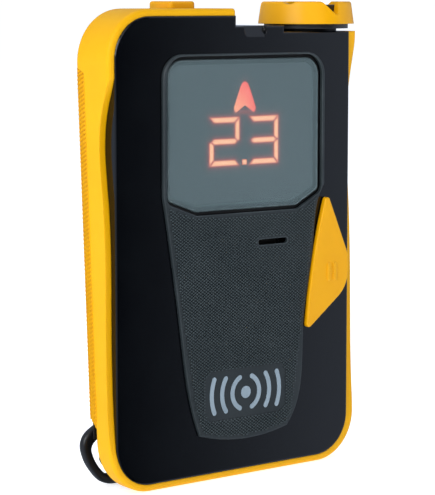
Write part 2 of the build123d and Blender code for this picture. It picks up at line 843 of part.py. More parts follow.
# Each third of the cap's edge has a deep finger notch, steep on one side, and a shallow dip.
notch_angles = (262, 142, 22)
dip_turn = -55
with BuildPart() as knob_cap:
    with BuildSketch(knob_plane(knob_bottom)):
        Circle(knob_radius)
    extrude(amount=knob_top - knob_bottom, taper=8)
    fillet(faces().sort_by(Axis.Z)[-1].edges(), 0.6)
    with BuildSketch(knob_plane(knob_bottom)):
        Circle(knob_bore)
    extrude(amount=knob_top - knob_bottom, mode=Mode.SUBTRACT)
    for angle in notch_angles:
        outward = Vector(1, 0, 0).rotate(Axis.Z, angle)
        sideways = Vector(0, 1, 0).rotate(Axis.Z, angle)
        with BuildSketch(Plane(origin=(knob_x, knob_y, knob_top), x_dir=sideways, z_dir=outward)):
            with BuildLine():
                Spline((-2.9, 0.1), (-1.4, -0.9), (0.9, -2.9), (1.6, -3.2), (2.1, -2.6), (2.3, 0.1))
                Polyline((2.3, 0.1), (2.3, 2.0), (-2.9, 2.0), (-2.9, 0.1))
            make_face()
        extrude(amount=20, mode=Mode.SUBTRACT)
        outward = Vector(1, 0, 0).rotate(Axis.Z, angle + dip_turn)
        sideways = Vector(0, 1, 0).rotate(Axis.Z, angle + dip_turn)
        with BuildSketch(Plane(origin=(knob_x, knob_y, knob_top), x_dir=sideways, z_dir=outward)):
            with BuildLine():
                Spline((-1.9, 0.1), (-1.1, -0.45), (0, -0.7), (1.1, -0.45), (1.9, 0.1))
                Polyline((1.9, 0.1), (1.9, 2.0), (-1.9, 2.0), (-1.9, 0.1))
            make_face()
        extrude(amount=20, mode=Mode.SUBTRACT)
knob_cap.part.label = "knob_cap"
export_step(knob_cap.part, "parts/knob_cap.step")

shaft_bottom = 36.0
with BuildPart() as knob_shaft:
    with BuildSketch(knob_plane(shaft_bottom)):
        Circle(shaft_radius)
    extrude(amount=shaft_top - shaft_bottom)
    with BuildSketch(knob_plane(shaft_top)):
        Circle(0.9)
    extrude(amount=-4.0, mode=Mode.SUBTRACT)
knob_shaft.part.label = "knob_shaft"
export_step(knob_shaft.part, "parts/knob_shaft.step")

with BuildPart() as knob_screw:
    with BuildSketch(knob_plane(screw_seat)):
        Circle(2.2)
    extrude(amount=0.9)
    with BuildSketch(knob_plane(screw_seat)):
        Circle(0.9)
    extrude(amount=-5.0)
    with BuildSketch(knob_plane(screw_seat + 0.9)):
        Rectangle(2.8, 0.6)
        Rectangle(0.6, 2.8)
    extrude(amount=-0.5, mode=Mode.SUBTRACT)
knob_screw.part.label = "knob_screw"
export_step(knob_screw.part, "parts/knob_screw.step")

# Bushing under the notch floor, with the O-ring that seals the shaft.
bushing_top = floor_z - wall
with BuildPart() as knob_bushing:
    with BuildSketch(knob_plane(44.0)):
        Circle(3.6)
    extrude(amount=bushing_top - 44.0)
    with BuildSketch(knob_plane(47.4)):
        Circle(3.0)
    extrude(amount=5, mode=Mode.SUBTRACT)
    with BuildSketch(knob_plane(40.0)):
        Circle(shaft_radius + running_gap)
    extrude(amount=12, mode=Mode.SUBTRACT)
knob_bushing.part.label = "knob_bushing"
export_step(knob_bushing.part, "parts/knob_bushing.step")

ring_radius = 0.46
with BuildPart() as shaft_seal:
    with BuildSketch(Plane(origin=(knob_x, knob_y, 47.4 + ring_radius), x_dir=(1, 0, 0), z_dir=(0, -1, 0))):
        with Locations((shaft_radius + running_gap + ring_radius, 0)):
            Circle(ring_radius)
    revolve(axis=Axis((knob_x, knob_y, 0), (0, 0, 1)))
shaft_seal.part.label = "shaft_seal"
export_step(shaft_seal.part, "parts/shaft_seal.step")

# Switch of the knob: a C-shaped frame, the contact rotor on the shaft, and the spring under its foot.
with BuildPart() as switch_frame:
    with BuildSketch(Plane.YZ.offset(knob_x - 3.6)):
        Polygon((-19.9, 30.0), (-11.9, 30.0), (-11.9, 42.0), (-19.9, 42.0), align=None)
        Polygon((-21.0, 32.5), (-12.7, 32.5), (-12.7, 41.0), (-21.0, 41.0), align=None, mode=Mode.SUBTRACT)
    extrude(amount=6.6)
    with BuildSketch(knob_plane(40)):
        Circle(shaft_radius + running_gap)
    extrude(amount=3, mode=Mode.SUBTRACT)
switch_frame.part.label = "switch_frame"
export_step(switch_frame.part, "parts/switch_frame.step")

with BuildPart() as switch_rotor:
    with BuildSketch(knob_plane(38.4)):
        Circle(3.3)
        Circle(shaft_radius, mode=Mode.SUBTRACT)
    extrude(amount=1.2)
switch_rotor.part.label = "switch_rotor"
export_step(switch_rotor.part, "parts/switch_rotor.step")

with BuildPart() as thrust_cup:
    with BuildSketch(knob_plane(shaft_bottom - 1.0)):
        Circle(3.0)
    extrude(amount=1.0)
thrust_cup.part.label = "thrust_cup"
export_step(thrust_cup.part, "parts/thrust_cup.step")

with BuildPart() as knob_spring:
    with BuildSketch(knob_plane(32.5)):
        Circle(2.8)
        Circle(2.1, mode=Mode.SUBTRACT)
    extrude(amount=shaft_bottom - 1.0 - 32.5)
knob_spring.part.label = "knob_spring"
export_step(knob_spring.part, "parts/knob_spring.step")

# Search trigger: a kite-shaped thumb plate on a stem, fixed to a carriage inside the case.
trigger_bottom_y = front_y - trigger_gap
with BuildPart() as search_trigger:
    with BuildSketch(at_depth(trigger_bottom_y)):
        with BuildLine():
            ThreePointArc((27.6, 11.6), (24.3, -0.6), (21.0, -22.8))
            Polyline((21.0, -22.8), (34.7, -12.6), (34.8, -4.8), (27.6, 11.6))
        make_face()
        fillet(vertices().sort_by(Axis.X)[-2:], 8.0)
        fillet(vertices().sort_by(Axis.Y)[0], 0.8)
        fillet(vertices().sort_by(Axis.Y)[-1], 0.8)
    extrude(amount=trigger_height - trigger_gap)
    fillet(faces().sort_by(Axis.Y)[0].edges(), 0.35)
    with BuildSketch(at_depth(trigger_bottom_y - trigger_height + trigger_gap)):
        with Locations((28.1, stem_z - 0.5), (30.1, stem_z - 0.5)):
            SlotOverall(4.4, 0.9, rotation=90)
    extrude(amount=0.35)
    with BuildSketch(at_depth(-23.7)):
        with Locations((28.5, stem_z)):
            Rectangle(3.0, 5.0)
    extrude(amount=2.7)
search_trigger.part.label = "search_trigger"
export_step(search_trigger.part, "parts/search_trigger.step")

with BuildPart() as trigger_carriage:
    with Locations((27.5, -22.1, stem_z)):
        Box(6.0, 3.2, 10.0)
    with BuildSketch(at_depth(-20.5)):
        with Locations((27.5, stem_z + 3.0)):
            Circle(1.4)
    extrude(amount=1.5, mode=Mode.SUBTRACT)
trigger_carriage.part.label = "trigger_carriage"
export_step(trigger_carriage.part, "parts/trigger_carriage.step")

with BuildPart() as trigger_magnet:
    with BuildSketch(at_depth(-20.5)):
        with Locations((27.5, stem_z + 3.0)):
            Circle(1.4)
    extrude(amount=1.5)
trigger_magnet.part.label = "trigger_magnet"
export_step(trigger_magnet.part, "parts/trigger_magnet.step")

with BuildPart() as trigger_guide:
    with Locations((28.8, -19.6, stem_z)):
        Box(9.6, 1.2, 14.0)
    for z in (stem_z - 6.2, stem_z + 6.2):
        with Locations((28.8, -21.6, z)):
            Box(9.6, 2.8, 1.6)
trigger_guide.part.label = "trigger_guide"
export_step(trigger_guide.part, "parts/trigger_guide.step")

# Option button: a square pad that comes up through the bumper, over a small switch on its bracket.
with BuildPart() as option_button:
    with BuildSketch(Plane.XY.offset(51.9)):
        with Locations((button_x, button_y)):
            Rectangle(button_width, button_depth)
    extrude(amount=button_top - 51.9)
    fillet(edges().filter_by(Axis.Z), 1.2)
    fillet(faces().sort_by(Axis.Z)[-1].edges(), 0.7)
    with BuildSketch(Plane.XY.offset(51.9)):
        with Locations((button_x, -15.0)):
            Rectangle(10.2, 5.0)
    extrude(amount=0.8)
option_button.part.label = "option_button"
export_step(option_button.part, "parts/option_button.step")

with BuildPart() as option_switch:
    with Locations((button_x, -15.0, 49.8)):
        Box(6.0, 6.0, 1.2)
    with BuildSketch(Plane.XY.offset(50.4)):
        with Locations((button_x, -15.0)):
            Circle(1.6)
    extrude(amount=0.5)
option_switch.part.label = "option_switch"
export_step(option_switch.part, "parts/option_switch.step")

with BuildPart() as option_bracket:
    with Locations((button_x, -14.5, 48.7)):
        Box(12.0, 7.8, 1.0)
    with Locations((button_x, -17.4, 47.2)):
        Box(12.0, 0.8, 4.0)
option_bracket.part.label = "option_bracket"
export_step(option_bracket.part, "parts/option_bracket.step")
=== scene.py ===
"""Avalanche transceiver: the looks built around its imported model."""

from math import cos, exp, hypot, pi, radians, sin

import bmesh
import bpy
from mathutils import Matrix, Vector


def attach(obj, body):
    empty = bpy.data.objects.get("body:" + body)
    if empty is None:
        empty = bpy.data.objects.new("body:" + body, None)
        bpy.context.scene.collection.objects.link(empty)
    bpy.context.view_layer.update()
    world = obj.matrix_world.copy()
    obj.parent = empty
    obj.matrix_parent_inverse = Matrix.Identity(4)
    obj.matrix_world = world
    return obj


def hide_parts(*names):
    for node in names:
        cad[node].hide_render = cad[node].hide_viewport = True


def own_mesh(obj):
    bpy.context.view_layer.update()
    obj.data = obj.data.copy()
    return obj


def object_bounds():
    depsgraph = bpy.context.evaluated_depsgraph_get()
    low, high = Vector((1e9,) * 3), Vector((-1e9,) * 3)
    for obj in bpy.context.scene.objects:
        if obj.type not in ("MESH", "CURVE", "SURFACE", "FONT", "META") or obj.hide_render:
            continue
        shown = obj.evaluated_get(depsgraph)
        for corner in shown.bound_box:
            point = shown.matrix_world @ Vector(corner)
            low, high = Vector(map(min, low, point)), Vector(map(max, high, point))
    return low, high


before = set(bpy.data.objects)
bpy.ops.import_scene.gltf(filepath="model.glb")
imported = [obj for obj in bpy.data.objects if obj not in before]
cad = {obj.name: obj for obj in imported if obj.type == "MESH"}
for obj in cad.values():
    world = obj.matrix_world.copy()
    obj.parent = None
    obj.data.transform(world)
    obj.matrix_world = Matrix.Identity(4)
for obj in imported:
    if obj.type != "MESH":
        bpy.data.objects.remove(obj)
cad_box = [list(corner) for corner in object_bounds()]
scene = bpy.context.scene
MM = 0.001

# Studio: a camera at eye height to the left of the front, a pale floor, and soft light that is
# strongest on the left. Glossy faces mirror the room's walls, which run from dark to pale.
eye = Vector((-0.31543, -0.41084, 0.05897))
looking = Vector((0.622, 0.774, -0.1187))
camera_data = bpy.data.cameras.new("camera")
camera_data.sensor_width = 36.0
camera_data.lens = 151.36
camera_data.clip_start = 0.01
camera = bpy.data.objects.new("camera", camera_data)
camera.location = eye
camera.rotation_euler = looking.to_track_quat("-Z", "Y").to_euler()
scene.collection.objects.link(camera)
scene.camera = camera
scene.view_settings.view_transform = "Standard"


def srgb(red, green, blue, alpha=1.0):
    """Colour given as 0 to 255 on a screen, as linear values."""
    linear = []
    for value in (red, green, blue):
        value /= 255.0
        linear.append(value / 12.92 if value <= 0.04045 else ((value + 0.055) / 1.055) ** 2.4)
    return (*linear, alpha)


def wire(tree, start, socket_out, end, socket_in):
    """Links one node's output to another's input, by socket name or number."""
    tree.links.new(start.outputs[socket_out], end.inputs[socket_in])


floor_half = 40.0
floor_mesh = bpy.data.meshes.new("floor")
floor_z = cad_box[0][2] - 0.0002
floor_corners = [(-floor_half, -floor_half), (floor_half, -floor_half), (floor_half, floor_half),
                 (-floor_half, floor_half)]
floor_mesh.from_pydata([(x, y, floor_z) for x, y in floor_corners], [], [(0, 1, 2, 3)])
floor = bpy.data.objects.new("floor", floor_mesh)
scene.collection.objects.link(floor)
floor.visible_glossy = False
floor_paint = bpy.data.materials.new("pale_floor")
floor_paint.use_nodes = True
floor_shader = floor_paint.node_tree.nodes["Principled BSDF"]
floor_shader.inputs["Base Color"].default_value = srgb(236, 236, 236)
floor_shader.inputs["Roughness"].default_value = 0.9
# The sheet is lit from below too, as on a light table, so that it stays pale far from the lamps
floor_shader.inputs["Emission Color"].default_value = (1.0, 1.0, 1.0, 1.0)
floor_shader.inputs["Emission Strength"].default_value = 0.72
floor_mesh.materials.append(floor_paint)

room = bpy.data.worlds.new("room")
room.use_nodes = True
scene.world = room
sky = room.node_tree
sky.nodes.clear()
toward = sky.nodes.new("ShaderNodeTexCoord")
parts = sky.nodes.new("ShaderNodeSeparateXYZ")
forward = sky.nodes.new("ShaderNodeMath")
forward.operation = "MULTIPLY"
forward.inputs[1].default_value = -1.0
bearing = sky.nodes.new("ShaderNodeMath")
bearing.operation = "ARCTAN2"
turns = sky.nodes.new("ShaderNodeMapRange")
turns.inputs["From Min"].default_value = -pi
turns.inputs["From Max"].default_value = pi
walls = sky.nodes.new("ShaderNodeValToRGB")
# Bearing in degrees (0 ahead of the front, 90 to its right) and the wall's brightness there
wall_light = [(-180, 0.55), (-95, 0.9), (-45, 0.5), (10, 0.0), (35.5, 0.0), (38.5, 0.3), (42.5, 0.85),
              (60, 0.95), (110, 0.5), (180, 0.55)]
stops = walls.color_ramp.elements
while len(stops) < len(wall_light):
    stops.new(0.5)
for stop, (angle, light) in zip(stops, wall_light):
    stop.position = (angle + 180.0) / 360.0
    stop.color = (light * 0.8, light * 0.9, light * 1.1, 1.0)
wall_glow = sky.nodes.new("ShaderNodeBackground")
wall_glow.inputs["Strength"].default_value = 0.75
backdrop = sky.nodes.new("ShaderNodeBackground")
backdrop.inputs["Color"].default_value = (1.1, 1.1, 1.1, 1.0)
seen = sky.nodes.new("ShaderNodeLightPath")
choose = sky.nodes.new("ShaderNodeMixShader")
out = sky.nodes.new("ShaderNodeOutputWorld")
wire(sky, toward, "Generated", parts, 0)
wire(sky, parts, "Y", forward, 0)
wire(sky, parts, "X", bearing, 0)
wire(sky, forward, 0, bearing, 1)
wire(sky, bearing, 0, turns, "Value")
wire(sky, turns, "Result", walls, "Fac")
wire(sky, walls, "Color", wall_glow, "Color")
wire(sky, seen, "Is Camera Ray", choose, 0)
wire(sky, wall_glow, 0, choose, 1)
wire(sky, backdrop, 0, choose, 2)
wire(sky, choose, 0, out, 0)

# Name, place, size and power of each soft light. All of them point at the middle of the case.
for name, place, size, power in (
    ("key_light", (-0.95, -0.35, 0.55), 0.7, 7.0),
    ("front_fill", (-0.25, -1.1, 0.75), 0.9, 3.0),
    ("top_fill", (0.25, 0.25, 1.1), 0.7, 2.0),
):
    lamp_data = bpy.data.lights.new(name, "AREA")
    lamp_data.size = size
    lamp_data.energy = power
    lamp = bpy.data.objects.new(name, lamp_data)
    lamp.location = place
    lamp.rotation_euler = (-Vector(place)).to_track_quat("-Z", "Y").to_euler()
    scene.collection.objects.link(lamp)

# Front shell: the deep tray that carries the display and the knob, injection moulded in ABS.
# Its outside is polished in the mould and picks up faint rubbing at the edges.


def shader_group(name, inputs, outputs):
    """New shader node group with its inputs (name, kind, value) and outputs (name, kind)."""
    tree = bpy.data.node_groups.new(name, "ShaderNodeTree")
    for label, kind, value in inputs:
        socket = tree.interface.new_socket(name=label, in_out="INPUT", socket_type="NodeSocket" + kind)
        if value is not None:
            socket.default_value = value
    for label, kind in outputs:
        tree.interface.new_socket(name=label, in_out="OUTPUT", socket_type="NodeSocket" + kind)
    return tree, tree.nodes.new("NodeGroupInput"), tree.nodes.new("NodeGroupOutput")


def step(tree, kind, **values):
    """New node of that kind with some of its own settings changed."""
    made = tree.nodes.new("ShaderNode" + kind)
    for key, value in values.items():
        setattr(made, key, value)
    return made


# Grain: fine texture left by the mould, and soft patches a few millimetres across.
grain_group, grain_in, grain_out = shader_group(
    "mould_grain",
    [("Vector", "Vector", None), ("Grain Scale", "Float", 3000.0), ("Patch Scale", "Float", 90.0)],
    [("Height", "Float"), ("Patches", "Float")],
)
fine = step(grain_group, "TexNoise")
fine.inputs["Detail"].default_value = 3.0
wide = step(grain_group, "TexNoise")
wide.inputs["Detail"].default_value = 4.0
wide.inputs["Roughness"].default_value = 0.6
spread = step(grain_group, "MapRange")
spread.inputs["From Min"].default_value = 0.3
spread.inputs["From Max"].default_value = 0.7
wire(grain_group, grain_in, "Vector", fine, "Vector")
wire(grain_group, grain_in, "Grain Scale", fine, "Scale")
wire(grain_group, grain_in, "Vector", wide, "Vector")
wire(grain_group, grain_in, "Patch Scale", wide, "Scale")
wire(grain_group, wide, "Fac", spread, "Value")
wire(grain_group, fine, "Fac", grain_out, "Height")
wire(grain_group, spread, "Result", grain_out, "Patches")

# Edge rub and highlight: a mask on the edges and corners, broken up by the patches. Its colour is rub where
# fingers and pockets reach, and on the window pane, the grip panel and the yellow nylon parts also a painted
# highlight.
rub_and_highlight_group, rub_and_highlight_in, rub_and_highlight_out = shader_group(
    "edge_rub_and_highlight",
    [("Width", "Float", 0.0004), ("Patches", "Float", 0.5)],
    [("Mask", "Float"), ("Normal", "Vector")],
)
rounding = step(rub_and_highlight_group, "Bevel", samples=4)
face_normal = step(rub_and_highlight_group, "NewGeometry")
same_way = step(rub_and_highlight_group, "VectorMath", operation="DOT_PRODUCT")
turned = step(rub_and_highlight_group, "MapRange")
turned.inputs["From Min"].default_value = 0.995
turned.inputs["From Max"].default_value = 0.80
broken = step(rub_and_highlight_group, "Math", operation="MULTIPLY")
wire(rub_and_highlight_group, rub_and_highlight_in, "Width", rounding, "Radius")
wire(rub_and_highlight_group, rounding, "Normal", same_way, 0)
wire(rub_and_highlight_group, face_normal, "Normal", same_way, 1)
wire(rub_and_highlight_group, same_way, "Value", turned, "Value")
wire(rub_and_highlight_group, turned, "Result", broken, 0)
wire(rub_and_highlight_group, rub_and_highlight_in, "Patches", broken, 1)
wire(rub_and_highlight_group, broken, 0, rub_and_highlight_out, "Mask")
wire(rub_and_highlight_group, rounding, "Normal", rub_and_highlight_out, "Normal")


def mix_colours(tree, factor, first, second):
    """Mix node. Each of the three is a value or a (node, output) pair."""
    mixer = step(tree, "Mix", data_type="RGBA")
    for socket, source in ((0, factor), (6, first), (7, second)):
        if isinstance(source, tuple) and hasattr(source[0], "outputs"):
            tree.links.new(source[0].outputs[source[1]], mixer.inputs[socket])
        else:
            mixer.inputs[socket].default_value = source
    return mixer


def finish(name, colour, patch, rough, grain, relief, rub_and_highlight=None, rub_and_highlight_width=0.4, metallic=0.0, patches=90.0):
    """Material with patches of a second colour, a grain in mm and its relief in mm, and edges painted
    in a second colour: rub on most parts, and a painted highlight as well on some.
    rough is the roughness at its lowest and highest. A relief of 0 leaves the surface polished.
    Returns the material and its named nodes."""
    material = bpy.data.materials.new(name)
    material.use_nodes = True
    tree = material.node_tree
    shader = tree.nodes["Principled BSDF"]
    shader.inputs["Metallic"].default_value = metallic
    place = step(tree, "TexCoord")
    skin = step(tree, "Group", node_tree=grain_group)
    skin.inputs["Grain Scale"].default_value = 1.0 / (grain * MM)
    skin.inputs["Patch Scale"].default_value = patches
    wire(tree, place, "Object", skin, "Vector")
    edge = step(tree, "Group", node_tree=rub_and_highlight_group)
    edge.inputs["Width"].default_value = rub_and_highlight_width * MM
    wire(tree, skin, "Patches", edge, "Patches")
    body = mix_colours(tree, (skin, "Patches"), colour, patch)
    coloured = mix_colours(tree, (edge, "Mask"), (body, 2), rub_and_highlight or patch)
    wire(tree, coloured, 2, shader, "Base Color")
    gloss = step(tree, "MapRange")
    gloss.inputs["To Min"].default_value = rough[0]
    gloss.inputs["To Max"].default_value = rough[1]
    wire(tree, skin, "Patches", gloss, "Value")
    wire(tree, gloss, "Result", shader, "Roughness")
    bump = None
    if relief:
        bump = step(tree, "Bump")
        bump.inputs["Distance"].default_value = relief * MM
        wire(tree, skin, "Height", bump, "Height")
        wire(tree, edge, "Normal", bump, "Normal")
        wire(tree, bump, 0, shader, "Normal")
    else:
        wire(tree, edge, "Normal", shader, "Normal")
    return material, {"tree": tree, "shader": shader, "place": place, "colour": coloured, "bump": bump}


def paint(material, *names):
    """Gives this material to CAD nodes, in all of their slots."""
    for name in names:
        for slot in cad[name].material_slots:
            slot.material = material


gloss_black, _ = finish(
    "polished_black_abs", srgb(2, 3, 6), srgb(4, 6, 9), (0.05, 0.09), 0.12, 0.0012,
    rub_and_highlight=srgb(34, 35, 38), rub_and_highlight_width=0.25)
paint(gloss_black, "front_shell")

# Rear shell: the shallow lid that holds the batteries and the aerials, in the same black ABS,
# spark-eroded to a satin texture. It narrows towards the flat back.
satin_black, _ = finish(
    "satin_black_abs", srgb(20, 21, 23), srgb(28, 29, 31), (0.42, 0.55), 0.22, 0.03,
    rub_and_highlight=srgb(60, 60, 62), rub_and_highlight_width=0.3)
paint(satin_black, "rear_shell")

# Seals: a black silicone cord in a groove of the rear shell's rim, one around the battery opening,
# a flat one under the window's pane, and a ring on the knob's shaft. They keep snow and water out.
black_rubber, _ = finish(
    "black_silicone", srgb(16, 16, 17), srgb(26, 26, 27), (0.6, 0.75), 0.1, 0.01, rub_and_highlight=srgb(48, 48, 48))
paint(black_rubber, "case_gasket", "shaft_seal", "door_seal", "window_seal")

# Bumper: yellow elastomer moulded over the front shell, from the parting line to the front edge.
# It is dull and slightly grainy, darker where dirt settles, and paler at the edges where hands rub it.
yellow_rubber, yellow_nodes = finish(
    "yellow_elastomer", srgb(244, 181, 0), srgb(238, 172, 0), (0.42, 0.54), 0.16, 0.012,
    rub_and_highlight=srgb(248, 192, 8), rub_and_highlight_width=0.5, patches=60.0)
yellow_nodes["shader"].inputs["Specular IOR Level"].default_value = 0.2
paint(yellow_rubber, "bumper")

# Search trigger, knob cap and option button: the same yellow, moulded in harder, glossier nylon.
# Their edges are painted paler, partly as rub from gloved fingers and partly as a painted highlight along
# each edge.
yellow_plastic, plastic_nodes = finish(
    "yellow_nylon", srgb(242, 174, 0), srgb(236, 166, 0), (0.32, 0.42), 0.14, 0.008,
    rub_and_highlight=srgb(252, 206, 60), rub_and_highlight_width=0.35, patches=70.0)
plastic_nodes["shader"].inputs["Specular IOR Level"].default_value = 0.25
paint(yellow_plastic, "search_trigger", "knob_cap", "option_button")

# Grip rails: elastomer strips let into the rear of both sides, with fine slanting ribs so that
# the case doesn't turn in a gloved hand. They are of the bumper's own material.


def pieces_mesh(name, corners, faces, smooth=True):
    """Mesh object from corners in mm. Faces are tuples of corner numbers."""
    mesh = bpy.data.meshes.new(name)
    mesh.from_pydata([[value * MM for value in corner] for corner in corners], [], faces)
    mesh.validate()
    sides = bmesh.new()
    sides.from_mesh(mesh)
    bmesh.ops.recalc_face_normals(sides, faces=sides.faces)
    sides.to_mesh(mesh)
    sides.free()
    for polygon in mesh.polygons:
        polygon.use_smooth = smooth
    made = bpy.data.objects.new(name, mesh)
    scene.collection.objects.link(made)
    return made


def fit(piece, material, body, slot, *replaced):
    """Gives a new piece its material, its body and the CAD nodes it stands for. Its record slot is not used.
    """
    if not piece.data.materials:
        piece.data.materials.append(material)
    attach(piece, body)
    if replaced:
        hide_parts(*replaced)


rail_pitch = 1.0
rail_relief = 0.62
rail_front_y = -18.1
rail_width = 2.5
rail_slope = 0.0525
rail_top, rail_bottom = 43.0, -39.0
rail_rows = 492
foot_drop, head_drop = 2.4, 1.0
rib_lean, rib_sharpness = 1.3, 0.8
end_rows, end_drop = 8, 0.4
# Across the strip: how far along its width, how far below the crests, and whether ribs reach it
rail_profile = [(0.0, 1.28, 0), (0.0, 0.42, 0), (0.05, 0.12, 1), (0.22, 0.02, 1), (0.4, 0.0, 1),
                (0.6, 0.0, 1), (0.78, 0.02, 1), (0.95, 0.12, 1), (1.0, 0.34, 0), (1.0, 1.28, 0)]
# The yellow is painted darker in the valleys, as painted shade between the ribs
ribbed_rubber, ribbed_nodes = finish(
    "ribbed_elastomer", srgb(244, 181, 0), srgb(236, 170, 0), (0.42, 0.54), 0.16, 0.012,
    rub_and_highlight=srgb(248, 192, 8), rub_and_highlight_width=0.2, patches=60.0)
ribbed_nodes["shader"].inputs["Specular IOR Level"].default_value = 0.2
sunk = step(ribbed_nodes["tree"], "Attribute", attribute_name="valley")
valley_painted_shade = mix_colours(ribbed_nodes["tree"], (sunk, "Fac"), (ribbed_nodes["colour"], 2), srgb(176, 96, 0))
wire(ribbed_nodes["tree"], valley_painted_shade, 2, ribbed_nodes["shader"], "Base Color")
for name, face_x in (("left_ribbed_rail", -38.1), ("right_ribbed_rail", 39.1)):
    side = -1 if face_x < 0 else 1
    corners, faces, valley = [], [], []
    across = len(rail_profile)
    for row in range(rail_rows + 1):
        for along, below, ribbed in rail_profile:
            low = rail_bottom - foot_drop * (1 - along)
            high = rail_top - head_drop * (1 - along)
            z = low + (high - low) * row / rail_rows
            wave = abs(sin(pi * (z + rib_lean * along) / rail_pitch)) ** rib_sharpness
            near_end = min(1.0, row / end_rows, (rail_rows - row) / end_rows)
            cut = below + ribbed * (rail_relief * (1 - wave) + end_drop * (1 - near_end))
            corners.append((face_x - side * cut, rail_front_y + rail_width * along + rail_slope * z, z))
            valley.append((1 - wave) * ribbed)
    for row in range(rail_rows):
        for column in range(across):
            here, beside = row * across + column, row * across + (column + 1) % across
            faces.append((here, beside, beside + across, here + across))
    faces.append(tuple(range(across)))
    faces.append(tuple(range(rail_rows * across, (rail_rows + 1) * across)))
    rail = pieces_mesh(name, corners, faces)
    rail.data.attributes.new("valley", "FLOAT", "POINT").data.foreach_set("value", valley)
    fit(rail, ribbed_rubber, "case", "yellow_rubber", name.replace("ribbed_rail", "grip_rail"))

# Grip panel: the raised tongue of dark grey rubber on the front. Its smooth rim frames the window,
# and below that it is knurled all over, save for the field that the signal mark is printed on.
# Its edges are painted paler grey, a painted highlight along the rim and the panel's edges
grip_rubber, _ = finish(
    "grey_grip_rubber", srgb(36, 44, 47), srgb(43, 51, 54), (0.42, 0.54), 0.12, 0.008,
    rub_and_highlight=srgb(100, 112, 116), rub_and_highlight_width=0.4)
paint(grip_rubber, "grip_panel")
panel_face_y = -26.9
knurl_width, knurl_height = 1.1, 0.76
knurl_proud = 0.24
panel_edge = [(27.2, 13.5), (25.2, 9.7), (23.7, -0.6), (20.6, -20.8), (17.5, -42.6), (15.2, -45.8),
              (8.5, -47.0), (1.4, -47.4), (-6.0, -46.8), (-12.0, -45.2), (-14.3, -38.5), (-17.7, -18.8),
              (-20.6, 0.0), (-22.8, 13.0), (-22.8, 46.1), (27.2, 46.1)]
window_edge = [(-21.3, 44.8), (-21.3, 11.9), (-12.9, 8.8), (18.3, 8.6), (25.5, 12.3), (25.5, 44.8)]
# Centre, half sizes and corner radius of the two places that the knurl keeps clear of
sound_slot = (10.5, 0.35, 4.7, 0.7, 0.7)
mark_field = (1.9, -35.9, 12.4, 5.6, 2.5)
slot_gap, mark_gap = 0.7, 0.45
edge_gap, window_gap = 0.95, 1.55
knurl_lines, knurl_places = range(-130, 130), range(-25, 30)
# Share of the pitch that a point takes up, and its height, at its foot and at its tip
knurl_levels = ((0.98, -0.05), (0.56, knurl_proud))


def inside(x, z, edge):
    """Whether a point lies in a closed outline."""
    within = False
    for (x0, z0), (x1, z1) in zip(edge, edge[1:] + edge[:1]):
        if (z0 > z) != (z1 > z) and x < (x1 - x0) * (z - z0) / (z1 - z0) + x0:
            within = not within
    return within


def distance(x, z, edge):
    """How far a point is from the nearest side of a closed outline."""
    nearest = 1e9
    for (x0, z0), (x1, z1) in zip(edge, edge[1:] + edge[:1]):
        run, rise = x1 - x0, z1 - z0
        share = max(0.0, min(1.0, ((x - x0) * run + (z - z0) * rise) / (run * run + rise * rise)))
        nearest = min(nearest, hypot(x - x0 - share * run, z - z0 - share * rise))
    return nearest


def rounded_gap(x, z, half_x, half_z, radius):
    """Distance outside a rounded rectangle centred on the origin. It is negative inside."""
    out_x, out_z = abs(x) - half_x + radius, abs(z) - half_z + radius
    return hypot(max(out_x, 0), max(out_z, 0)) + min(max(out_x, out_z), 0) - radius


corners, faces = [], []
for line in knurl_lines:
    z = line * knurl_height / 2
    for place in knurl_places:
        x = (place + (line % 2) / 2) * knurl_width
        if not inside(x, z, panel_edge) or inside(x, z, window_edge):
            continue
        if distance(x, z, panel_edge) < edge_gap or distance(x, z, window_edge) < window_gap:
            continue
        if rounded_gap(x - sound_slot[0], z - sound_slot[1], *sound_slot[2:]) < slot_gap:
            continue
        if rounded_gap(x - mark_field[0], z - mark_field[1], *mark_field[2:]) < mark_gap:
            continue
        start = len(corners)
        for share, lift in knurl_levels:
            half_x, half_z = share * knurl_width / 2, share * knurl_height / 2
            for step_x, step_z in ((half_x, 0), (0, half_z), (-half_x, 0), (0, -half_z)):
                corners.append((x + step_x, panel_face_y - lift, z + step_z))
        for turn in range(4):
            after = (turn + 1) % 4
            faces.append((start + turn, start + after, start + 4 + after, start + 4 + turn))
        faces.append(tuple(start + 4 + turn for turn in range(4)))
        faces.append(tuple(start + turn for turn in (3, 2, 1, 0)))
knurl = pieces_mesh("grip_knurl", corners, faces, smooth=False)
knurl_rubber, knurl_nodes = finish(
    "knurled_grip_rubber", srgb(56, 67, 70), srgb(64, 75, 78), (0.42, 0.55), 0.1, 0.004, rub_and_highlight=srgb(78, 88, 92),
    rub_and_highlight_width=0.08)
# The valleys between the points are painted nearly black, as painted shade
tree = knurl_nodes["tree"]
depth = step(tree, "SeparateXYZ")
wire(tree, knurl_nodes["place"], "Object", depth, 0)
height = step(tree, "MapRange")
height.inputs["From Min"].default_value = panel_face_y * MM
height.inputs["From Max"].default_value = (panel_face_y - knurl_proud) * MM
wire(tree, depth, "Y", height, "Value")
shaded = mix_colours(tree, (height, "Result"), srgb(4, 6, 7), (knurl_nodes["colour"], 2))
wire(tree, shaded, 2, knurl_nodes["shader"], "Base Color")
fit(knurl, knurl_rubber, "case", "grip_rubber")

# Signal mark: a dot with arcs on both sides, pad printed in pale grey ink on the smooth field
# that the knurl leaves free.
pale_print, _ = finish(
    "pale_print", srgb(150, 168, 180), srgb(136, 154, 166), (0.45, 0.6), 0.1, 0.004, rub_and_highlight=srgb(112, 128, 138),
    rub_and_highlight_width=0.1)
paint(pale_print, "signal_mark")

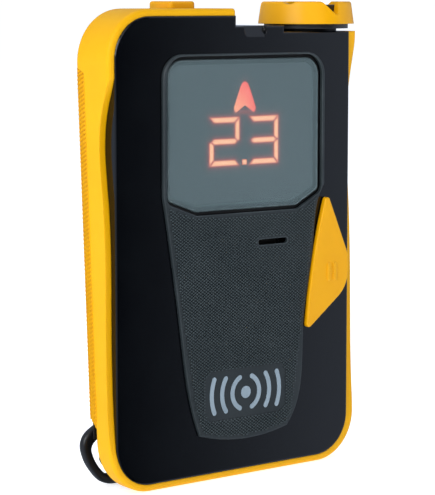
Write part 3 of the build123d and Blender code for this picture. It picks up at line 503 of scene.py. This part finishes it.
# Window: a pane of smoked acrylic, polished on both faces, glued onto its seal inside the panel's
# rim. Its edges are painted with a thin pale line, a painted highlight.
smoked_acrylic, pane_nodes = finish(
    "smoked_acrylic", srgb(108, 128, 132), srgb(112, 132, 136), (0.16, 0.22), 0.5, 0.0,
    rub_and_highlight=srgb(205, 222, 226), rub_and_highlight_width=0.5, patches=40.0)
pane_nodes["shader"].inputs["Alpha"].default_value = 0.5
paint(smoked_acrylic, "window")

# Display: a block of light guides on the board, behind a dark filter film. Two digits and the
# direction arrow shine through the film, brightest along the middle of each bar.
bar_back_y, bar_front_y = -25.05, -25.25
digit_width, digit_height, bar_width, bar_gap = 9.2, 11.6, 1.3, 0.2
digit_bottom = 19.3


def digit_bars(left, names):
    """Outlines of one digit's lit bars, by their usual letters."""
    right, top = left + digit_width, digit_bottom + digit_height
    middle, half = digit_bottom + digit_height / 2, bar_width / 2
    near, far = left + bar_width, right - bar_width
    bars = {
        "a": [(left + bar_gap, top), (right - bar_gap, top), (far - bar_gap, top - bar_width),
              (near + bar_gap, top - bar_width)],
        "d": [(left + bar_gap, digit_bottom), (near + bar_gap, digit_bottom + bar_width),
              (far - bar_gap, digit_bottom + bar_width), (right - bar_gap, digit_bottom)],
        "g": [(left + half, middle), (near + bar_gap, middle + half), (far - bar_gap, middle + half),
              (right - half, middle), (far - bar_gap, middle - half), (near + bar_gap, middle - half)],
        "b": [(right, top - bar_gap), (right, middle + bar_gap), (right - half, middle + bar_gap),
              (far, middle + half + bar_gap), (far, top - bar_width - bar_gap)],
        "c": [(right, digit_bottom + bar_gap), (far, digit_bottom + bar_width + bar_gap),
              (far, middle - half - bar_gap), (right - half, middle - bar_gap), (right, middle - bar_gap)],
        "e": [(left, digit_bottom + bar_gap), (left, middle - bar_gap), (left + half, middle - bar_gap),
              (near, middle - half - bar_gap), (near, digit_bottom + bar_width + bar_gap)],
    }
    return [bars[name] for name in names]


def shrink(edge, amount):
    """A convex outline with every side moved inwards by amount."""
    area = sum(x0 * z1 - x1 * z0 for (x0, z0), (x1, z1) in zip(edge, edge[1:] + edge[:1]))
    sign = 1 if area > 0 else -1
    sides = []
    for (x0, z0), (x1, z1) in zip(edge, edge[1:] + edge[:1]):
        length = hypot(x1 - x0, z1 - z0)
        nx, nz = -(z1 - z0) / length * sign, (x1 - x0) / length * sign
        sides.append((nx, nz, nx * x0 + nz * z0 + amount))
    inner = []
    for (a, b, c), (d, e, f) in zip(sides[-1:] + sides[:-1], sides):
        det = a * e - b * d
        inner.append(((c * e - b * f) / det, (a * f - c * d) / det))
    return inner


def lit_piece(name, edges, amount):
    """Flat bars with a "core" value on their corners: 0 around the edge and 1 inside."""
    corners, faces, core = [], [], []
    for edge in edges:
        start, count = len(corners), len(edge)
        for ring, y, value in ((edge, bar_back_y, 0.0), (edge, bar_front_y, 0.0),
                               (shrink(edge, amount), bar_front_y, 1.0)):
            corners.extend((x, y, z) for x, z in ring)
            core.extend([value] * count)
        for ring in (0, count):
            for turn in range(count):
                after = (turn + 1) % count
                faces.append((start + ring + turn, start + ring + after, start + ring + count + after,
                              start + ring + count + turn))
        faces.append(tuple(start + turn for turn in range(count)))
        faces.append(tuple(start + 2 * count + turn for turn in range(count)))
    piece = pieces_mesh(name, corners, faces, smooth=False)
    layer = piece.data.attributes.new("core", "FLOAT", "POINT")
    layer.data.foreach_set("value", core)
    return piece


def glowing(name, attribute, edge_light, core_light):
    """Material lit from one colour to another by a value on the mesh. The colours may pass 1."""
    material, nodes = finish(name, srgb(52, 18, 14), srgb(60, 22, 16), (0.35, 0.45), 0.2, 0.0, rub_and_highlight_width=0.03)
    tree, shader = nodes["tree"], nodes["shader"]
    value = step(tree, "Attribute", attribute_name=attribute)
    light = mix_colours(tree, (value, "Fac"), (*edge_light, 1.0), (*core_light, 1.0))
    wire(tree, light, 2, shader, "Emission Color")
    shader.inputs["Emission Strength"].default_value = 1.0
    return material


left_digit_x, right_digit_x = -8.0, 4.2
core_margin = 0.3
bars = digit_bars(left_digit_x, "abged") + digit_bars(right_digit_x, "abgcd")
point = [(2.1, 19.3), (3.5, 19.3), (3.5, 20.6), (2.1, 20.6)]
digits = lit_piece("lit_digits", bars + [point], core_margin)
lit_digit = glowing("lit_digit_bars", "core", (2.4, 0.26, 0.10), (3.4, 1.7, 0.85))
fit(digits, lit_digit, "case", "lit_red", "digit_segments")

arrow_edges = [[(2.9, 39.3), (3.7, 38.9), (4.2, 38.1), (6.3, 32.9), (5.7, 31.9), (2.9, 33.6)],
               [(2.9, 39.3), (2.9, 33.6), (0.1, 31.9), (-0.5, 32.9), (1.6, 38.1), (2.1, 38.9)]]
arrow = lit_piece("lit_arrow", arrow_edges, 0.0)
# The light guide under the arrow is brightest and warmest near its left foot
warm, warm_reach = (0.6, 33.4), 2.4
layer = arrow.data.attributes["core"]
for vertex, value in zip(arrow.data.vertices, layer.data):
    value.value = exp(-hypot(vertex.co.x / MM - warm[0], vertex.co.z / MM - warm[1]) / warm_reach)
lit_arrow = glowing("lit_arrow_light", "core", (3.2, 0.12, 0.12), (3.6, 1.9, 0.8))
fit(arrow, lit_arrow, "case", "lit_red", "arrow_light")

# The filter film is a grid, so that the bars' glow can fade over it.
film_front_y, film_back_y = -25.16, -25.06
film_step = 0.42
film_reach = 0.45
film_gap = 1.25
film_left, film_bottom = -20.05, 9.9
film_columns, film_rows = 106, 80
arrow_outline = [(2.9, 39.0), (6.0, 32.0), (-0.2, 32.0)]
corners, faces, glow, number = [], [], [], {}
for row in range(film_rows + 1):
    for column in range(film_columns + 1):
        x, z = film_left + column * film_step, film_bottom + row * film_step
        if not inside(x, z, window_edge) or distance(x, z, window_edge) < film_gap:
            continue
        number[(row, column)] = len(corners)
        nearest = min(min(0.0 if inside(x, z, bar) else distance(x, z, bar) for bar in bars),
                      distance(x, z, arrow_outline))
        corners.append((x, film_front_y, z))
        glow.append(exp(-nearest / film_reach))
for (row, column), first in list(number.items()):
    others = [number.get(key) for key in ((row, column + 1), (row + 1, column + 1), (row + 1, column))]
    if None not in others:
        faces.append((first, *others))
film = pieces_mesh("display_film", corners, faces)
layer = film.data.attributes.new("glow", "FLOAT", "POINT")
layer.data.foreach_set("value", glow)
thicken = film.modifiers.new("thickness", "SOLIDIFY")
thicken.thickness = (film_back_y - film_front_y) * MM
thicken.offset = -1.0
film_dark = glowing("display_filter_film", "glow", (0.0, 0.0, 0.0), (1.0, 0.09, 0.05))
fit(film, film_dark, "case", "smoked_window")
# The light guides' block, in the matt black nylon that most inner parts share
matte_black, _ = finish(
    "matte_black_nylon", srgb(22, 22, 24), srgb(30, 30, 32), (0.5, 0.62), 0.2, 0.012, rub_and_highlight=srgb(70, 70, 72))
paint(matte_black, "display_module")

# Circuit board: glass epoxy under green solder mask, with copper tracks running under the mask.
# The chips are black epoxy, soldered to its rear face.
board_green, board_nodes = finish(
    "green_solder_mask", srgb(10, 62, 34), srgb(13, 72, 40), (0.28, 0.4), 0.2, 0.004, rub_and_highlight=srgb(150, 142, 96),
    rub_and_highlight_width=0.2)
tree, shader = board_nodes["tree"], board_nodes["shader"]
tracks = step(tree, "TexBrick", offset=0.5, squash=0.6)
tracks.inputs["Scale"].default_value = 260.0
tracks.inputs["Mortar Size"].default_value = 0.035
tracks.inputs["Mortar Smooth"].default_value = 0.2
tracks.inputs["Color1"].default_value = (0, 0, 0, 1)
tracks.inputs["Color2"].default_value = (0, 0, 0, 1)
tracks.inputs["Mortar"].default_value = (1, 1, 1, 1)
lay = step(tree, "Mapping")
lay.inputs["Rotation"].default_value = (radians(90), 0, 0)
wire(tree, board_nodes["place"], "Object", lay, "Vector")
wire(tree, lay, "Vector", tracks, "Vector")
masked = mix_colours(tree, (tracks, "Color"), (board_nodes["colour"], 2), srgb(34, 112, 62))
wire(tree, masked, 2, shader, "Base Color")
paint(board_green, "circuit_board")
chip_epoxy, _ = finish(
    "chip_epoxy", srgb(17, 17, 18), srgb(24, 24, 25), (0.5, 0.65), 0.08, 0.006, rub_and_highlight=srgb(60, 60, 60),
    rub_and_highlight_width=0.1)
paint(chip_epoxy, "board_chips")

# Loudspeaker: a steel basket painted black, with a paper cone that has a domed middle. It stands
# behind the sound slot.
basket, _ = finish(
    "black_basket", srgb(30, 31, 33), srgb(40, 41, 43), (0.35, 0.5), 0.15, 0.006, rub_and_highlight=srgb(120, 120, 122),
    rub_and_highlight_width=0.15, metallic=0.6)
paint(basket, "speaker")
cone_paper, _ = finish(
    "cone_paper", srgb(52, 50, 48), srgb(64, 61, 58), (0.7, 0.85), 0.25, 0.03, rub_and_highlight=srgb(90, 86, 82))
paint(cone_paper, "speaker_cone")

# Aerials: three ferrite rods at right angles, each wound with enamelled copper wire. The turns
# show as fine bands around each coil.
ferrite, _ = finish(
    "ferrite", srgb(44, 42, 42), srgb(58, 55, 54), (0.45, 0.65), 0.12, 0.012, rub_and_highlight=srgb(92, 88, 86),
    rub_and_highlight_width=0.2)
paint(ferrite, "length_aerial_core", "cross_aerial_core", "depth_aerial_core")
wire_relief = 0.12
for name, direction in (("length_aerial_coil", "Z"), ("cross_aerial_coil", "X"), ("depth_aerial_coil", "Y")):
    copper, copper_nodes = finish(
        name + "_copper", srgb(176, 84, 38), srgb(150, 66, 28), (0.24, 0.36), 0.1, 0.004,
        rub_and_highlight=srgb(214, 132, 80), rub_and_highlight_width=0.1, metallic=1.0)
    tree = copper_nodes["tree"]
    winding = step(tree, "TexWave", wave_type="BANDS", bands_direction=direction, wave_profile="SIN")
    winding.inputs["Scale"].default_value = 700.0
    wire(tree, copper_nodes["place"], "Object", winding, "Vector")
    turns_bump = step(tree, "Bump")
    turns_bump.inputs["Distance"].default_value = wire_relief * MM
    wire(tree, winding, "Fac", turns_bump, "Height")
    wire(tree, copper_nodes["bump"], 0, turns_bump, "Normal")
    wire(tree, turns_bump, 0, copper_nodes["shader"], "Normal")
    shaded = mix_colours(tree, (winding, "Fac"), srgb(70, 28, 12), (copper_nodes["colour"], 2))
    wire(tree, shaded, 2, copper_nodes["shader"], "Base Color")
    paint(copper, name)

# Battery tray: a black nylon box in the rear shell, open to the back. It has nickel-plated steel
# plates at both ends, and a coiled spring at the flat end of each cell.
paint(matte_black, "battery_tray")
plated_steel, _ = finish(
    "nickel_plate", srgb(196, 196, 192), srgb(176, 176, 172), (0.2, 0.34), 0.07, 0.003,
    rub_and_highlight=srgb(226, 226, 222), rub_and_highlight_width=0.1, metallic=1.0)
paint(plated_steel, "contact_plates")


def coil_mesh(name, axis, radii, heights, wire_radius, turns, round_steps=12, per_turn=28):
    """Compression spring of round wire about a vertical axis. Radii and heights are first and last."""
    corners, faces = [], []
    steps = int(turns * per_turn)
    for number in range(steps + 1):
        share = number / steps
        angle = 2 * pi * turns * share
        # This much of the first and last turns lies flat
        flat = 0.75
        rise = min(1.0, max(0.0, (share * turns - flat) / (turns - 2 * flat)))
        low, high = heights[0] + wire_radius, heights[1] - wire_radius
        radius = radii[0] + (radii[1] - radii[0]) * share - wire_radius
        for turn in range(round_steps):
            around = 2 * pi * turn / round_steps
            out_by = radius + wire_radius * cos(around)
            corners.append((axis[0] + out_by * cos(angle), axis[1] + out_by * sin(angle),
                            low + (high - low) * rise + wire_radius * sin(around)))
    for number in range(steps):
        for turn in range(round_steps):
            here, beside = number * round_steps + turn, number * round_steps + (turn + 1) % round_steps
            faces.append((here, beside, beside + round_steps, here + round_steps))
    faces.append(tuple(range(round_steps)))
    faces.append(tuple(range(steps * round_steps, (steps + 1) * round_steps)))
    return pieces_mesh(name, corners, faces)


cell_y = -8.6
cell_columns = (("left", -11.1, True), ("middle", 0.0, False), ("right", 11.1, True))
seat_low, seat_high, spring_reach = -39.2, 8.5, 3.2
foot_radius, tip_radius = 3.0, 2.2
contact_wire_radius, contact_turns = 0.3, 3.5
spring_pieces = []
for name, column, upright in cell_columns:
    ends = (seat_low, seat_low + spring_reach) if upright else (seat_high - spring_reach, seat_high)
    widths = (foot_radius, tip_radius) if upright else (tip_radius, foot_radius)
    spring_pieces.append(coil_mesh(name + "_contact_spring", (column, cell_y), widths, ends,
                                   contact_wire_radius, contact_turns))
fit(spring_pieces[0], plated_steel, "case", "plated_steel", "contact_springs")
for spring in spring_pieces[1:]:
    fit(spring, plated_steel, "case", "plated_steel")

# Cells: three steel cans in shrunk plastic sleeves, grey-blue with a pale band at the nub's end.
# The rims and the nub are bare metal.
cell_sleeve, _ = finish(
    "cell_sleeve", srgb(64, 82, 98), srgb(70, 88, 104), (0.22, 0.34), 0.3, 0.004, rub_and_highlight=srgb(150, 160, 168),
    rub_and_highlight_width=0.2)
band_sleeve, _ = finish(
    "cell_sleeve_band", srgb(188, 192, 192), srgb(178, 183, 184), (0.2, 0.32), 0.3, 0.004,
    rub_and_highlight=srgb(214, 216, 216), rub_and_highlight_width=0.2)
# Along the cell from its flat end: distance and radius; then which material the next stretch has
cell_profile = [(0.0, 0.0, 1), (0.0, 3.6, 1), (0.12, 4.2, 1), (0.1, 4.7, 0), (0.5, 5.1, 0), (1.0, 5.24, 0),
                (33.0, 5.24, 0), (33.01, 5.24, 2), (42.4, 5.24, 2), (43.1, 5.16, 2), (43.5, 4.8, 2),
                (43.62, 4.3, 1), (43.4, 3.9, 1), (43.45, 2.2, 1), (43.6, 1.95, 1), (44.35, 1.85, 1),
                (44.5, 1.6, 1), (44.5, 0.0, 1)]
cell_round = 48
cell_length = 44.5
# A ring of no width would be a fold, so the first and last rings keep this radius
least_radius = 0.01
for name, column, upright in cell_columns:
    foot = seat_high - cell_length if upright else seat_low + cell_length
    sign = 1 if upright else -1
    corners, faces, kinds = [], [], []
    for along, radius, _ in cell_profile:
        radius = max(radius, least_radius)
        for turn in range(cell_round):
            angle = 2 * pi * turn / cell_round
            corners.append((column + radius * cos(angle), cell_y + radius * sin(angle), foot + sign * along))
    for ring in range(len(cell_profile) - 1):
        for turn in range(cell_round):
            here, beside = ring * cell_round + turn, ring * cell_round + (turn + 1) % cell_round
            faces.append((here, beside, beside + cell_round, here + cell_round))
            kinds.append(cell_profile[ring][2])
    faces.append(tuple(range(cell_round)))
    faces.append(tuple(range(len(corners) - cell_round, len(corners))))
    kinds += [1, 1]
    cell = pieces_mesh(name + "_cell", corners, faces)
    for material in (cell_sleeve, plated_steel, band_sleeve):
        cell.data.materials.append(material)
    for polygon, kind in zip(cell.data.polygons, kinds):
        polygon.material_index = kind
    fit(cell, cell_sleeve, "case", "battery_sleeve", name + "_battery")

# Battery door: black ABS like the rear shell, hinged on two steel pins at its lower edge and held
# shut by a captive steel screw.
paint(satin_black, "battery_door")
paint(plated_steel, "door_hinge_pins", "door_screw")

# Case screws: four steel screws with a black oxide skin. They stand in recesses of the back, and
# draw the rear shell to the front shell.
dark_steel, _ = finish(
    "black_oxide_steel", srgb(62, 62, 66), srgb(48, 48, 52), (0.3, 0.45), 0.1, 0.006, rub_and_highlight=srgb(150, 150, 154),
    rub_and_highlight_width=0.15, metallic=1.0)
paint(dark_steel, "case_screws")

# Knob's stem: a plated steel shaft that comes out of the case through a black nylon bushing and a
# collar, and that a steel screw holds in the black hub. Inside, it turns the switch's white nylon
# rotor, and its foot stands on a black nylon cup over the spring.
paint(satin_black, "knob_collar")
paint(matte_black, "knob_bushing", "switch_frame", "thrust_cup")
paint(plated_steel, "knob_shaft")
hub_black, _ = finish(
    "hub_black_nylon", srgb(26, 27, 30), srgb(33, 34, 37), (0.3, 0.42), 0.16, 0.008,
    rub_and_highlight=srgb(96, 97, 102), rub_and_highlight_width=0.25)
paint(hub_black, "knob_hub")
paint(dark_steel, "knob_screw")
white_nylon, _ = finish(
    "white_nylon", srgb(206, 204, 196), srgb(194, 192, 184), (0.4, 0.55), 0.16, 0.008,
    rub_and_highlight=srgb(224, 222, 216))
paint(white_nylon, "switch_rotor")

# Search trigger's carriage: black nylon with a plated magnet pressed into it, on the trigger's
# stem inside the case. It slides in a black nylon guide.
paint(matte_black, "trigger_carriage", "trigger_guide")
paint(plated_steel, "trigger_magnet")

# Option button's switch: a small white nylon switch on a black bracket, below the button.
# The button presses it down.
paint(matte_black, "option_bracket")
paint(white_nylon, "option_switch")

# Knob spring: a short coil of plated spring steel around the knob's axis. It stands on the switch
# frame, lifts the knob back after a press, and flattens during it.
knob_axis, knob_spring_radius, knob_spring_ends = (30.0, -16.3), 2.8, (32.5, 35.0)
knob_wire_radius, knob_spring_turns = 0.24, 3.5
knob_spring = coil_mesh("knob_return_spring", knob_axis, (knob_spring_radius, knob_spring_radius),
                        knob_spring_ends, knob_wire_radius, knob_spring_turns)
fit(knob_spring, plated_steel, "case", "plated_steel", "knob_spring")
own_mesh(knob_spring)

# Leash loop: a moulded ring of tough black nylon with rounded edges. Its straight leg is set in the
# rear shell, and the harness's leash passes through its slot.
loop_outer = [(-29.2, -40.4), (-33.8, -41.2), (-37.3, -43.3), (-38.4, -46.2), (-36.9, -50.6), (-33.4, -55.0),
              (-30.5, -56.3), (-26.2, -56.3), (-25.4, -52.8), (-27.8, -46.0)]
loop_inner = [(-36.0, -46.4), (-34.6, -50.2), (-31.6, -53.8), (-28.4, -53.4), (-29.4, -47.2), (-32.4, -43.8)]
loop_back_y, loop_front_y = -13.2, -15.4


def soften(edge, times):
    """Closed outline with its corners cut again and again, until it is a smooth curve."""
    near, far = 0.22, 0.78
    for _ in range(times):
        softer = []
        for (x0, z0), (x1, z1) in zip(edge, edge[1:] + edge[:1]):
            softer.append((far * x0 + near * x1, far * z0 + near * z1))
            softer.append((near * x0 + far * x1, near * z0 + far * z1))
        edge = softer
    return edge


def reach(edge, centre, angle):
    """Point where a ray from the centre leaves a closed outline."""
    run, rise = cos(angle), sin(angle)
    for (x0, z0), (x1, z1) in zip(edge, edge[1:] + edge[:1]):
        ax, az, bx, bz = x0 - centre[0], z0 - centre[1], x1 - x0, z1 - z0
        det = bx * rise - bz * run
        if abs(det) < 1e-9:
            continue
        share = (az * run - ax * rise) / det
        far = (az * bx - ax * bz) / det
        if -1e-6 <= share <= 1 + 1e-6 and far > 0:
            return centre[0] + far * run, centre[1] + far * rise
    raise ValueError("the outline is open")


loop_centre = (-32.0, -49.0)
loop_steps, loop_across = 120, 20
outer_edge, inner_edge = soften(loop_outer, 3), soften(loop_inner, 3)
corners, faces = [], []
for number in range(loop_steps):
    angle = 2 * pi * number / loop_steps
    (x0, z0), (x1, z1) = reach(outer_edge, loop_centre, angle), reach(inner_edge, loop_centre, angle)
    for turn in range(loop_across):
        around = 2 * pi * turn / loop_across
        # A square with well rounded corners
        square = (abs(cos(around)) ** 4 + abs(sin(around)) ** 4) ** -0.25
        share = 0.5 + 0.5 * square * cos(around)
        y = (loop_back_y + loop_front_y) / 2 + square * sin(around) * (loop_back_y - loop_front_y) / 2
        corners.append((x0 + (x1 - x0) * share, y, z0 + (z1 - z0) * share))
for number in range(loop_steps):
    for turn in range(loop_across):
        here, beside = number * loop_across + turn, number * loop_across + (turn + 1) % loop_across
        there = (number + 1) % loop_steps * loop_across
        faces.append((here, beside, there + beside % loop_across, there + turn))
loop = pieces_mesh("leash_ring", corners, faces)
loop_black, _ = finish(
    "loop_black_nylon", srgb(17, 17, 19), srgb(24, 24, 26), (0.3, 0.42), 0.2, 0.01, rub_and_highlight=srgb(58, 58, 62),
    rub_and_highlight_width=0.3)
fit(loop, loop_black, "case", "satin_black", "leash_loop")
